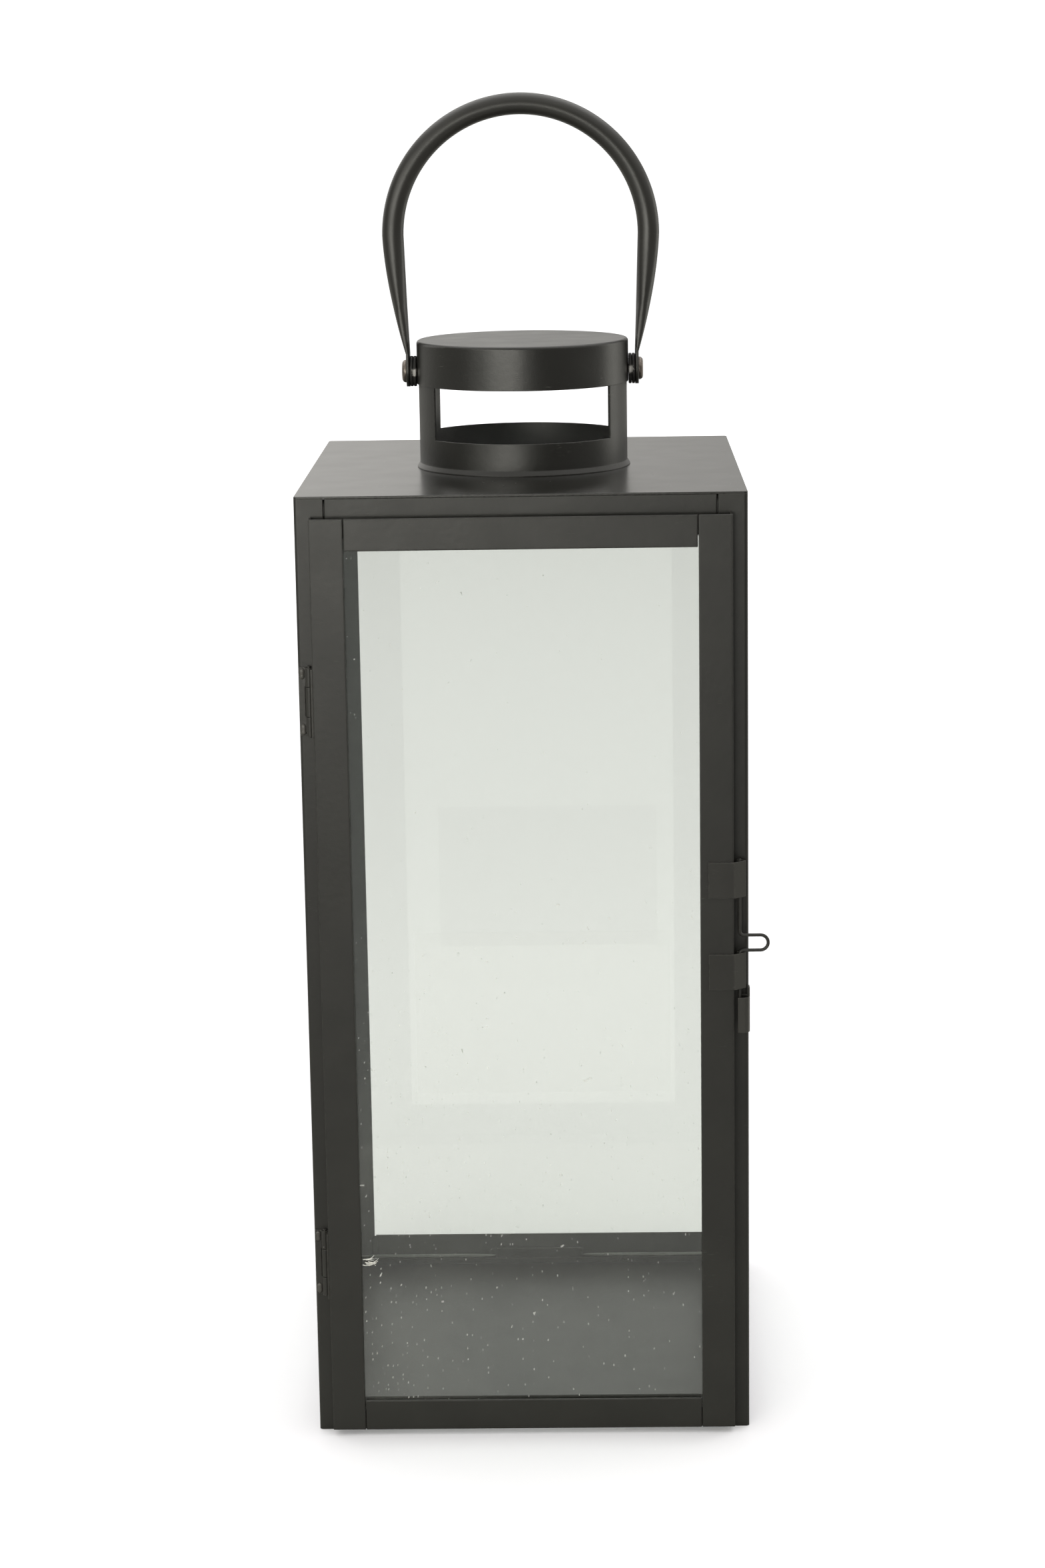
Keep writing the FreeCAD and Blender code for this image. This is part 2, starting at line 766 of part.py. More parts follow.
def hinge(name, foot):
    """Three-knuckle hinge: leaf on the post, leaf on the door stile and a pin."""
    head = f"{foot} + hinge_height"
    low = (foot, f"{foot} + knuckle")
    middle = (f"{foot} + knuckle + knuckle_gap", f"{head} - knuckle - knuckle_gap")
    high = (f"{head} - knuckle", head)
    whole = (foot, head)
    bore = rod("pin_radius + pin_clear", "hinge_height", (AXIS_X, AXIS_Y, foot))
    post_face = f"-({HALF_DEPTH})"
    leaf_y = (f"{post_face} - leaf", post_face)
    clear_x = f"{AXIS_X} - barrel_radius - knuckle_gap"
    body_side = [
        box((f"{AXIS_X} - leaf_reach", clear_x), leaf_y, whole),
        box((clear_x, AXIS_X), leaf_y, low),
        box((clear_x, AXIS_X), leaf_y, high),
        barrel(*low),
        barrel(*high),
    ]
    node(cut(fuse(body_side), bore), f"hinge_{name}_body_leaf")
    door_side_x = f"-({DOOR_EDGE})"
    leaf_x = (f"{door_side_x} - leaf", door_side_x)
    tip_y = f"{DOOR_FRONT} + edge_round + seat"
    clear_y = f"{AXIS_Y} - barrel_radius - knuckle_gap"
    door_side = [
        box(leaf_x, (tip_y, clear_y), whole),
        box(leaf_x, (clear_y, AXIS_Y), middle),
        barrel(*middle),
    ]
    door_bore = rod("pin_radius + pin_clear", "hinge_height", (AXIS_X, AXIS_Y, foot))
    node(cut(fuse(door_side), door_bore), f"hinge_{name}_door_leaf")
    pin_foot = f"{foot} - pin_stand"
    pin = rod("pin_radius", "hinge_height + 2 * pin_stand", (AXIS_X, AXIS_Y, pin_foot))
    node(pin, f"hinge_{name}_pin")


hinge("upper", f"{DOOR_HEAD} - hinge_upper_drop")
hinge("lower", f"{DOOR_FOOT} + hinge_lower_rise")


# ---- latch ----------------------------------------------------------------------------------

BOLT_X = f"{DOOR_EDGE} + bolt_radius + bolt_side_gap"
BOLT_Y = f"{DOOR_FRONT} + bolt_radius + bolt_face_gap"


def latch_strap(label, foot):
    """Folded guide strap: flat on the stile, then bent back round the bolt wire."""
    face = f"{DOOR_FRONT} - strap_sheet / 2"
    knee_x = f"{DOOR_EDGE} + edge_round"
    far_x = f"{BOLT_X} + bolt_radius + strap_clear"
    far_y = f"{DOOR_FRONT} + strap_fall - strap_sheet / 2"
    path = [
        (f"{DOOR_EDGE} - strap_lap", face),
        (knee_x, face),
        (far_x, far_y),
        (f"{far_x} - strap_tuck", f"{far_y} + strap_fold"),
        (f"{DOOR_EDGE} + strap_fold", f"{far_y} + strap_fold"),
    ]
    node(folded_strip(path, foot, "strap_height", "strap_sheet"), label)


latch_strap("latch_strap_upper", "strap_upper_foot")
latch_strap("latch_strap_lower", "strap_lower_foot")


def latch_keeper():
    """Curled keeper on the right-hand post that the foot of the bolt drops into."""
    post_face = f"-({HALF_DEPTH}) - strap_sheet / 2"
    wall_x = f"{HALF_WIDTH} + keeper_over - strap_sheet / 2"
    lip_y = f"{BOLT_Y} - bolt_radius - keeper_clear - strap_sheet / 2"
    path = [
        (f"{wall_x} - keeper_leaf", post_face),
        (wall_x, post_face),
        (wall_x, f"{lip_y} + keeper_curl"),
        (f"{wall_x} - keeper_curl / 3", f"{lip_y} + keeper_curl / 3"),
        (f"{wall_x} - keeper_curl", lip_y),
        (f"{wall_x} - keeper_lip", lip_y),
    ]
    curl = folded_strip(path, "keeper_foot", "keeper_height", "strap_sheet")
    ear_z = "keeper_foot + keeper_height"
    ear = box(
        (f"{wall_x} - strap_sheet / 2", f"{wall_x} + strap_sheet / 2"),
        (f"{lip_y} + keeper_curl", f"-({HALF_DEPTH})"),
        (ear_z, f"{ear_z} + keeper_ear"),
    )
    node(fuse([curl, ear]), "latch_keeper")


latch_keeper()


def latch_bolt():
    """Bolt of bent wire with a finger loop, built as one pipe along its centreline."""
    size = {name: float(sheet.get(name)) for name in SIZES}
    edge = size["body_width"] / 2 - size["door_side_gap"]
    front = -size["body_depth"] / 2 - size["door_clear"] - size["door_depth"]
    bolt_x = edge + size["bolt_radius"] + size["bolt_side_gap"]
    bolt_y = front + size["bolt_radius"] + size["bolt_face_gap"]
    bend = size["bend_radius"]
    half = size["loop_pitch"] / 2
    low = size["loop_low"]
    high = low + size["loop_pitch"]
    round_x = bolt_x + size["loop_reach"] - half
    slant = bend * (1 - math.sqrt(0.5))

    def point(x, z):
        return FreeCAD.Vector(x, bolt_y, z)

    foot = point(bolt_x, size["bolt_foot"])
    top = point(bolt_x, size["bolt_top"])
    pieces = [
        Part.LineSegment(foot, point(bolt_x, low - bend)),
        Part.Arc(point(bolt_x, low - bend), point(bolt_x + slant, low - slant), point(bolt_x + bend, low)),
        Part.LineSegment(point(bolt_x + bend, low), point(round_x, low)),
        Part.Arc(point(round_x, low), point(round_x + half, low + half), point(round_x, high)),
        Part.LineSegment(point(round_x, high), point(bolt_x + bend, high)),
        Part.Arc(point(bolt_x + bend, high), point(bolt_x + slant, high + slant), point(bolt_x, high + bend)),
        Part.LineSegment(point(bolt_x, high + bend), top),
    ]
    path = Part.Wire([piece.toShape() for piece in pieces])
    ring = Part.makeCircle(size["bolt_radius"], foot, FreeCAD.Vector(0, 0, 1))
    item = doc.addObject("Part::Feature", "Bolt")
    item.Shape = path.makePipeShell([Part.Wire([ring])], True, False)
    item.Placement = FreeCAD.Placement()
    node(item, "latch_bolt")


latch_bolt()


# ---- check and write ------------------------------------------------------------------------

doc.recompute()
for item in doc.Objects:
    if "Invalid" in item.State or "Error" in item.State:
        raise RuntimeError(f"{item.Name} ({item.Label}) failed to build")
for item in NODES:
    if item.Shape.isNull() or not item.Shape.isValid():
        raise RuntimeError(f"{item.Label} has no valid shape")

os.makedirs("parts", exist_ok=True)
for item in NODES:
    item.Shape.exportStep(f"parts/{item.Label}.step")
    solids = len(item.Shape.Solids)
    print(f"{item.Label}: {solids} solid(s), {item.Shape.Volume:.1f} mm3")
print(f"{len(NODES)} nodes")
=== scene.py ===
import json
import math
import random

import bmesh
import bpy
from mathutils import Matrix, Vector


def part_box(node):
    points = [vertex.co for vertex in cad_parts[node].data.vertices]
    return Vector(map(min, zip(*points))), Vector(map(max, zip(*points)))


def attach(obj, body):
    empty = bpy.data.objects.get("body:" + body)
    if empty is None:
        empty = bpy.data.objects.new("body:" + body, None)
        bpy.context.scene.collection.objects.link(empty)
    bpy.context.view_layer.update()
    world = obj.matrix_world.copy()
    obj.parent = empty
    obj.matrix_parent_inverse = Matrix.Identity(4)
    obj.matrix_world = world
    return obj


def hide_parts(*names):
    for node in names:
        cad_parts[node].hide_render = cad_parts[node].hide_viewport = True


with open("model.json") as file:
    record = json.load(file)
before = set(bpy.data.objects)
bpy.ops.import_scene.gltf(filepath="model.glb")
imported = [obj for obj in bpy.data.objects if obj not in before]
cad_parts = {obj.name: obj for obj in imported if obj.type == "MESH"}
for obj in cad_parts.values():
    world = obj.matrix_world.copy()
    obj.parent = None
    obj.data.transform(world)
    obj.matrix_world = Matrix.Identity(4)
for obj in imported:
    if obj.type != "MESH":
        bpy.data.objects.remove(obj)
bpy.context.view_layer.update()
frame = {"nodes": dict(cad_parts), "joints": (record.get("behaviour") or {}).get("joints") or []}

# ---- camera ---------------------------------------------------------------------------------

CAMERA_PLACE = Vector((0.02746, -1.60676, 0.62486))
CAMERA_YAW = -0.0190
CAMERA_PITCH = 0.2099
CAMERA_ROLL = 0.0156
CAMERA_LENS = 78.51
SENSOR_LONG_SIDE = 36.0
CLIP_NEAR = 0.05
CLIP_FAR = 50


def make_camera():
    """Camera in front of the lantern, as high as its bail, looking slightly down."""
    forward = Vector((
        math.sin(CAMERA_YAW) * math.cos(CAMERA_PITCH),
        math.cos(CAMERA_YAW) * math.cos(CAMERA_PITCH),
        -math.sin(CAMERA_PITCH),
    ))
    level = Vector((math.cos(CAMERA_YAW), -math.sin(CAMERA_YAW), 0))
    down = forward.cross(level)
    right = math.cos(CAMERA_ROLL) * level + math.sin(CAMERA_ROLL) * down
    up = math.sin(CAMERA_ROLL) * level - math.cos(CAMERA_ROLL) * down
    data = bpy.data.cameras.new("camera")
    data.lens = CAMERA_LENS
    data.sensor_width = SENSOR_LONG_SIDE
    data.clip_start = CLIP_NEAR
    data.clip_end = CLIP_FAR
    camera = bpy.data.objects.new("camera", data)
    bpy.context.scene.collection.objects.link(camera)
    turn = Matrix((right, up, -forward)).transposed()
    camera.matrix_world = Matrix.Translation(CAMERA_PLACE) @ turn.to_4x4()
    bpy.context.scene.camera = camera


make_camera()


# ---- node helpers ---------------------------------------------------------------------------


class Nodes:
    """Short calls for building one node tree."""

    def __init__(self, tree):
        self.tree = tree
        tree.nodes.clear()

    def add(self, kind, inputs=None, **settings):
        item = self.tree.nodes.new(kind)
        for name, value in settings.items():
            setattr(item, name, value)
        for name, value in (inputs or {}).items():
            self.feed(item, name, value)
        return item

    def feed(self, item, name, value):
        socket = item.inputs[name]
        if isinstance(value, bpy.types.NodeSocket):
            self.tree.links.new(value, socket)
        else:
            socket.default_value = value

    def math(self, operation, first, second=0.0):
        return self.add("ShaderNodeMath", {0: first, 1: second}, operation=operation).outputs[0]

    def vector(self, operation, first, second):
        return self.add("ShaderNodeVectorMath", {0: first, 1: second}, operation=operation).outputs[0]

    def place(self):
        return self.add("ShaderNodeTexCoord").outputs["Object"]

    def axis(self, vector, name):
        return self.add("ShaderNodeSeparateXYZ", {0: vector}).outputs[name]

    def noise(self, vector, scale, detail=2.0, roughness=0.5):
        inputs = {"Vector": vector, "Scale": scale, "Detail": detail, "Roughness": roughness}
        return self.add("ShaderNodeTexNoise", inputs).outputs[0]

    def ramp(self, value, low, high, start=0.0, end=1.0, smooth=False):
        inputs = {"Value": value, "From Min": low, "From Max": high, "To Min": start, "To Max": end}
        kind = "SMOOTHSTEP" if smooth else "LINEAR"
        return self.add("ShaderNodeMapRange", inputs, interpolation_type=kind).outputs[0]

    def blend(self, factor, first, second):
        """Mix of two colours."""
        item = self.add("ShaderNodeMix", data_type="RGBA")
        for index, value in ((0, factor), (6, first), (7, second)):
            self.feed(item, index, value)
        return item.outputs[2]

    def lerp(self, factor, first, second):
        """Mix of two numbers."""
        item = self.add("ShaderNodeMix", data_type="FLOAT")
        for index, value in ((0, factor), (2, first), (3, second)):
            self.feed(item, index, value)
        return item.outputs[0]


def new_material(name):
    material = bpy.data.materials.new(name)
    material.use_nodes = True
    return material, Nodes(material.node_tree)


def finish_surface(nodes, shader):
    nodes.add("ShaderNodeOutputMaterial", {"Surface": shader})


def shaded(colour, factor):
    """A colour made darker or lighter by a factor."""
    return tuple(channel * factor for channel in colour[:3]) + (1,)


# ---- powder coat ----------------------------------------------------------------------------

PAINT = (0.0130, 0.0128, 0.0108, 1)
PAINT_WORN = (0.10, 0.098, 0.088, 1)
# A lighter copy of the frame's black coat for the hinges, latch and bail: painted light for the highlights
# these small parts catch.
FITTING_PAINT_LIT = (0.0200, 0.0194, 0.0168, 1)
# Painted sheen: a paler coat on the latch parts past the door's edge.
SHEEN_PAINT = (0.036, 0.035, 0.031, 1)
SHEEN_FADE = 0.0004
SHEEN_PATCHES = (0.3, 0.7, 0.75, 1.0)
WELD_PAINT = (0.070, 0.067, 0.061, 1)
DUST = (0.80, 0.80, 0.77, 1)

BEVEL_SAMPLES = 4
EDGE_LEAN = (0.995, 0.86)
SCUFF_SHIFT = (1, 0.7, 1.3)
SCUFF_STRETCH = (260, 260, 2600)
SCUFF_THIN = (0.64, 0.72)
SCUFF_PATCH_SCALE = 55
SCUFF_PATCHES = (0.58, 0.72)
SCUFF_SEED = 3.1
SMALLEST_DOT = 0.45
MOTTLE_SCALE = 34
MOTTLE_SPREAD = (0.35, 0.65)
MOTTLE_DARK = 0.86
MOTTLE_LIGHT = 1.14
CHIP_SCALE = 420
CHIP_ROUGHNESS = 0.6
CHIP_SPREAD = (0.36, 0.62)
LINT_SCALE = 230
LINT_SHARE = 0.05
LINT_SIZE = 0.055
LINT_SEED = 5.3
LINT_COVER = 0.5
GLOSS_SCALE = 60
# The part of its 0 to 1 range that a noise texture mostly stays in.
MIDDLE = (0.3, 0.7)
WORN_ROUGHER = 0.12
GRAIN_SCALE = 1500
GRAIN_HEIGHT = 0.35
PEEL_SCALE = 330
PEEL_DEPTH = 0.0006
PAINT_SPECULAR = 0.5
COAT_WEIGHT = 0.12
COAT_ROUGHNESS = 0.28


def edge_mask(nodes, radius):
    """Rounded normal, and a mask that is white along sharp edges, where it leans from the true one."""
    soft = nodes.add("ShaderNodeBevel", {"Radius": radius}, samples=BEVEL_SAMPLES).outputs[0]
    true = nodes.add("ShaderNodeNewGeometry").outputs["Normal"]
    lean = nodes.add("ShaderNodeVectorMath", {0: soft, 1: true}, operation="DOT_PRODUCT")
    return soft, nodes.ramp(lean.outputs["Value"], *EDGE_LEAN)


def scuffs(nodes, place, seed, amount):
    """Fine rub marks: stretched noise cut to thin light streaks, in patches."""
    moved = nodes.vector("ADD", place, tuple(seed * share for share in SCUFF_SHIFT))
    streak = nodes.noise(nodes.vector("MULTIPLY", moved, SCUFF_STRETCH), 1.0, 3.0)
    patch = nodes.noise(moved, SCUFF_PATCH_SCALE, 1.0)
    thin = nodes.ramp(streak, *SCUFF_THIN)
    where = nodes.ramp(patch, *SCUFF_PATCHES)
    return nodes.math("MULTIPLY", nodes.math("MULTIPLY", thin, where), amount)


def specks(nodes, place, scale, share, size, seed):
    """Tiny scattered dots: a random share of the cells of a fine grid each holds one."""
    moved = nodes.vector("ADD", place, (seed, seed, seed))
    cells = nodes.add("ShaderNodeTexVoronoi", {"Vector": moved, "Scale": scale, "Randomness": 1.0})
    chosen = nodes.axis(cells.outputs["Color"], "X")
    sized = nodes.ramp(nodes.axis(cells.outputs["Color"], "Y"), 0.0, 1.0, size * SMALLEST_DOT, size)
    dot = nodes.math("LESS_THAN", cells.outputs["Distance"], sized)
    picked = nodes.math("LESS_THAN", chosen, share)
    return nodes.math("MULTIPLY", dot, picked)


def powder_coat(name, seed=0.0, base=PAINT, rubbed=0.35, roughness=0.40, spread=0.03, peeled=0.10,
                fold=0.0006, worn_edge=0.42, sheen_from=None):
    """Satin powder coat: fine orange-peel texture, faint mottling, worn edges and light rub marks.

    The last argument is the X beyond which the coat is painted paler in patches: a painted sheen on the
    latch parts past the door's edge.
    """
    material, nodes = new_material(name)
    place = nodes.place()
    soft, edges = edge_mask(nodes, fold)

    chips = nodes.ramp(nodes.noise(place, CHIP_SCALE, 3.0, CHIP_ROUGHNESS), *CHIP_SPREAD)
    wear = nodes.math("MULTIPLY", edges, nodes.math("MULTIPLY", chips, worn_edge))
    worn = nodes.math("MAXIMUM", wear, scuffs(nodes, place, SCUFF_SEED + seed, rubbed))

    mottle = nodes.noise(place, MOTTLE_SCALE, 3.0)
    tone = nodes.ramp(mottle, *MOTTLE_SPREAD)
    tone = nodes.blend(tone, shaded(base, MOTTLE_DARK), shaded(base, MOTTLE_LIGHT))
    # Painted sheen: the coat paler in patches beyond the given X.
    if sheen_from is not None:
        across = nodes.axis(place, "X")
        sheen = nodes.ramp(across, sheen_from - SHEEN_FADE, sheen_from + SHEEN_FADE)
        sheen = nodes.math("MULTIPLY", sheen, nodes.ramp(mottle, *SHEEN_PATCHES))
        tone = nodes.blend(sheen, tone, SHEEN_PAINT)
    tone = nodes.blend(worn, tone, PAINT_WORN)
    lint = specks(nodes, place, LINT_SCALE, LINT_SHARE, LINT_SIZE, seed + LINT_SEED)
    tone = nodes.blend(nodes.math("MULTIPLY", lint, LINT_COVER), tone, DUST)

    cloudy = nodes.noise(place, GLOSS_SCALE, 3.0)
    gloss = nodes.ramp(cloudy, *MIDDLE, roughness - spread, roughness + spread)
    gloss = nodes.math("ADD", gloss, nodes.math("MULTIPLY", worn, WORN_ROUGHER))

    grain = nodes.math("MULTIPLY", nodes.noise(place, GRAIN_SCALE, 2.0), GRAIN_HEIGHT)
    height = nodes.math("ADD", grain, nodes.noise(place, PEEL_SCALE, 2.0))
    bump = nodes.add("ShaderNodeBump", {
        "Strength": peeled,
        "Distance": PEEL_DEPTH,
        "Height": height,
        "Normal": soft,
    })
    shader = nodes.add("ShaderNodeBsdfPrincipled", {
        "Base Color": tone,
        "Roughness": gloss,
        "Normal": bump.outputs[0],
        "Specular IOR Level": PAINT_SPECULAR,
        "Coat Weight": COAT_WEIGHT,
        "Coat Roughness": COAT_ROUGHNESS,
    })
    finish_surface(nodes, shader.outputs[0])
    return material


# ---- glass ----------------------------------------------------------------------------------

GLASS_TINT = (0.790, 0.808, 0.776, 1)
GLASS_SHADE = (0.93, 0.95, 0.93, 1)
GLASS_IOR = 1.5
# Sizes of dust: grid cells per metre, share of cells, size in cells, how far marks are bent.
DUST_GRAINS = ((115, 0.06, 0.062, 1.2), (215, 0.24, 0.084, 1.0), (430, 0.15, 0.145, 0.5))
DUST_WARP = 1.7
DUST_SOFT_EDGE = 0.5
DUST_FAINTEST = 0.25
DUST_BRIGHTEST = 0.90
DUST_HIGH_UP = 0.10
DUST_SIDES = (-0.08, 0.03, 1.0, 0.35)
DUST_COVER = 0.75
DUST_ROUGHNESS = 0.9
FILM_SCALE = 16
FILM_SPREAD = (0.35, 0.8, 0.0, 0.03)
DOOR_DUST = 1.0
DOOR_DUST_RISE = 0.8
PANE_DUST = 0.35
PANE_DUST_RISE = 0.5


def dust_grain(nodes, flat, scale, part, size, share, skew):
    """One size of dust: short lint-like marks in a random part of the cells of a flat grid."""
    inputs = {"Vector": flat, "Scale": scale * DUST_WARP, "Detail": 2.0}
    warp = nodes.add("ShaderNodeTexNoise", inputs).outputs["Color"]
    sway = nodes.vector("SUBTRACT", warp, (0.5, 0.5, 0.5))
    sway = nodes.vector("MULTIPLY", sway, (skew / scale, skew / scale, 0.0))
    bent = nodes.vector("ADD", flat, sway)
    cells = nodes.add("ShaderNodeTexVoronoi", {"Vector": bent, "Scale": scale}, voronoi_dimensions="2D")
    chosen = nodes.axis(cells.outputs["Color"], "X")
    sized = nodes.ramp(nodes.axis(cells.outputs["Color"], "Y"), 0.0, 1.0, size * SMALLEST_DOT, size)
    dot = nodes.ramp(cells.outputs["Distance"], sized, nodes.math("MULTIPLY", sized, DUST_SOFT_EDGE))
    bright = nodes.axis(cells.outputs["Color"], "Z")
    bright = nodes.ramp(bright, 0.0, 1.0, DUST_FAINTEST, DUST_BRIGHTEST)
    picked = nodes.math("LESS_THAN", chosen, nodes.math("MULTIPLY", share, part))
    return nodes.math("MULTIPLY", nodes.math("MULTIPLY", dot, picked), bright)


def pane_glass(name, dust, low, high, seed, across="X"):
    """Clear float glass with a green-grey tint, fine dust and specks that gather towards the foot."""
    material, nodes = new_material(name)
    place = nodes.place()
    level = nodes.axis(place, "Z")
    wide = nodes.axis(place, across)
    rising = nodes.ramp(level, low, high, 1.0, DUST_HIGH_UP, smooth=True)
    settle = nodes.math("MULTIPLY", rising, nodes.ramp(wide, *DUST_SIDES, smooth=True))
    share = nodes.math("MULTIPLY", settle, dust)
    flat = nodes.add("ShaderNodeCombineXYZ", {
        "X": nodes.math("ADD", wide, seed),
        "Y": nodes.math("ADD", level, seed),
    }).outputs[0]
    film = nodes.ramp(nodes.noise(flat, FILM_SCALE, 4.0, 0.6), *FILM_SPREAD)
    spots = 0.0
    for scale, part, size, skew in DUST_GRAINS:
        spots = nodes.math("MAXIMUM", spots, dust_grain(nodes, flat, scale, part, size, share, skew))
    veil = nodes.math("MULTIPLY", film, settle)
    cover = nodes.math("MAXIMUM", nodes.math("MULTIPLY", spots, DUST_COVER), veil)
    clear = nodes.add("ShaderNodeBsdfPrincipled", {
        "Base Color": GLASS_TINT,
        "Roughness": 0.0,
        "IOR": GLASS_IOR,
        "Transmission Weight": 1.0,
    })
    powder = nodes.add("ShaderNodeBsdfPrincipled", {"Base Color": DUST, "Roughness": DUST_ROUGHNESS})
    body = nodes.add("ShaderNodeMixShader", {0: cover, 1: clear.outputs[0], 2: powder.outputs[0]})
    shadow = nodes.add("ShaderNodeLightPath").outputs["Is Shadow Ray"]
    through = nodes.add("ShaderNodeBsdfTransparent", {"Color": GLASS_SHADE})
    passing = nodes.math("MULTIPLY", shadow, nodes.math("SUBTRACT", 1.0, cover))
    shader = nodes.add("ShaderNodeMixShader", {0: passing, 1: body.outputs[0], 2: through.outputs[0]})
    finish_surface(nodes, shader.outputs[0])
    return material


# ---- small unpainted parts ------------------------------------------------------------------

STEEL_BRUSHING = (300, 2400, 2400)
STEEL_DARK = (0.13, 0.112, 0.098, 1)
STEEL_LIGHT = (0.24, 0.21, 0.19, 1)
STEEL_GLOSS = (0.30, 0.42)
STEEL_RELIEF = (0.15, 0.0003)
STEEL_METAL = 0.85
RUBBER_SCALE = 1800
RUBBER_DARK = (0.010, 0.010, 0.010, 1)
RUBBER_LIGHT = (0.020, 0.019, 0.018, 1)
RUBBER_GLOSS = (0.55, 0.7)
RUBBER_RELIEF = (0.3, 0.0003)
# Painted highlight on the washer rims: a pale patch at their front, around the pivot's height.
GLINT_TONE = (0.50, 0.49, 0.47, 1)
GLINT_HALF_HEIGHT = 0.0019
GLINT_DEPTH = 0.0012
GLINT_MARGIN = 0.0006
GLINT_RAGGED = 0.0005
GLINT_RAGGED_SCALE = 900
GLINT_INNER = 0.6
SEALANT_LINES = (40, 40, 1800)
SEALANT_LINE_SPREAD = (0.35, 0.65)
SEALANT_SCALE = 260
SEALANT_DARK = (0.085, 0.09, 0.08, 1)
SEALANT_LIGHT = (0.15, 0.16, 0.145, 1)
SEALANT_LUMP = (0.26, 0.27, 0.25, 1)
SEALANT_LUMPS = (0.6, 0.8, 0.0, 0.5)
SEALANT_GLOSS = (0.45, 0.55)
SEALANT_RELIEF = (0.3, 0.0003)
GLUE_SCALE = 1400
GLUE_DARK = (0.62, 0.62, 0.58, 1)
GLUE_LIGHT = (0.92, 0.92, 0.89, 1)
GLUE_GLOSS = (0.35, 0.5)
GLUE_RELIEF = (0.3, 0.0002)


def grained_surface(nodes, tone, gloss, height, relief, metal=0.0):
    """Surface with its own grain as relief, a strength and a depth, for the parts without powder coat."""
    strength, distance = relief
    bump = nodes.add("ShaderNodeBump", {"Strength": strength, "Distance": distance, "Height": height})
    shader = nodes.add("ShaderNodeBsdfPrincipled", {
        "Base Color": tone,
        "Metallic": metal,
        "Roughness": gloss,
        "Normal": bump.outputs[0],
    })
    finish_surface(nodes, shader.outputs[0])


def dull_steel(name):
    """Darkened steel of the rivets, faintly brown and brushed round their heads."""
    material, nodes = new_material(name)
    grain = nodes.noise(nodes.vector("MULTIPLY", nodes.place(), STEEL_BRUSHING), 1.0, 3.0)
    tone = nodes.blend(nodes.ramp(grain, *MIDDLE), STEEL_DARK, STEEL_LIGHT)
    gloss = nodes.ramp(grain, *MIDDLE, *STEEL_GLOSS)
    grained_surface(nodes, tone, gloss, grain, STEEL_RELIEF, metal=STEEL_METAL)
    return material


def washer_rubber(name):
    """Matt black washers with a moulded grain, and a painted highlight at the front of each pair's rim, at
    mid-height.
    """
    material, nodes = new_material(name)
    place = nodes.place()
    low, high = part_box("pivot_washers")
    middle = (low.z + high.z) / 2
    grain = nodes.noise(place, RUBBER_SCALE, 3.0)
    ragged = nodes.noise(place, GLINT_RAGGED_SCALE, 2.0)
    ragged = nodes.ramp(ragged, *MIDDLE, -GLINT_RAGGED, GLINT_RAGGED)
    tall = nodes.math("ABSOLUTE", nodes.math("SUBTRACT", nodes.axis(place, "Z"), middle))
    tall = nodes.math("ADD", tall, ragged)
    tall = nodes.ramp(tall, GLINT_HALF_HEIGHT, GLINT_HALF_HEIGHT * GLINT_INNER)
    front = nodes.math("LESS_THAN", nodes.axis(place, "Y"), low.y + GLINT_DEPTH)
    reach = nodes.math("ABSOLUTE", nodes.axis(place, "X"))
    outer = nodes.ramp(nodes.math("ADD", reach, ragged), high.x - GLINT_MARGIN, high.x - GLINT_MARGIN * 2)
    # Painted highlight: the pale tone at the front of the rim, at mid-height.
    glint = nodes.math("MULTIPLY", nodes.math("MULTIPLY", tall, front), outer)
    tone = nodes.blend(nodes.ramp(grain, *MIDDLE), RUBBER_DARK, RUBBER_LIGHT)
    tone = nodes.blend(glint, tone, GLINT_TONE)
    gloss = nodes.ramp(grain, *MIDDLE, *RUBBER_GLOSS)
    grained_surface(nodes, tone, gloss, grain, RUBBER_RELIEF)
    return material


def clear_sealant(name):
    """Cured pane sealant: pale, a little milky, drawn out in fine lines along the bead."""
    material, nodes = new_material(name)
    place = nodes.place()
    lines = nodes.noise(nodes.vector("MULTIPLY", place, SEALANT_LINES), 1.0, 3.0)
    lumps = nodes.noise(place, SEALANT_SCALE, 3.0)
    tone = nodes.blend(nodes.ramp(lines, *SEALANT_LINE_SPREAD), SEALANT_DARK, SEALANT_LIGHT)
    tone = nodes.blend(nodes.ramp(lumps, *SEALANT_LUMPS), tone, SEALANT_LUMP)
    gloss = nodes.ramp(lumps, *MIDDLE, *SEALANT_GLOSS)
    grained_surface(nodes, tone, gloss, lumps, SEALANT_RELIEF)
    return material


def glue_thread(name):
    """White strings of dried glue."""
    material, nodes = new_material(name)
    lumps = nodes.noise(nodes.place(), GLUE_SCALE, 3.0)
    tone = nodes.blend(nodes.ramp(lumps, *MIDDLE), GLUE_DARK, GLUE_LIGHT)
    gloss = nodes.ramp(lumps, *MIDDLE, *GLUE_GLOSS)
    grained_surface(nodes, tone, gloss, lumps, GLUE_RELIEF)
    return material


# ---- finishes of the CAD nodes --------------------------------------------------------------


def make_panes():
    """Glass of the door and of the three fixed panes, the door's being dustier."""
    low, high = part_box("door_glass")
    door_rise = high.z * DOOR_DUST_RISE
    pane_rise = high.z * PANE_DUST_RISE
    return {
        "door_glass": pane_glass("door_pane", DOOR_DUST, low.z, door_rise, 0.0),
        "glass_back": pane_glass("back_pane", PANE_DUST, low.z, pane_rise, 1.7),
        "glass_left": pane_glass("side_pane_left", PANE_DUST, low.z, pane_rise, 3.1, across="Y"),
        "glass_right": pane_glass("side_pane_right", PANE_DUST, low.z, pane_rise, 4.3, across="Y"),
    }


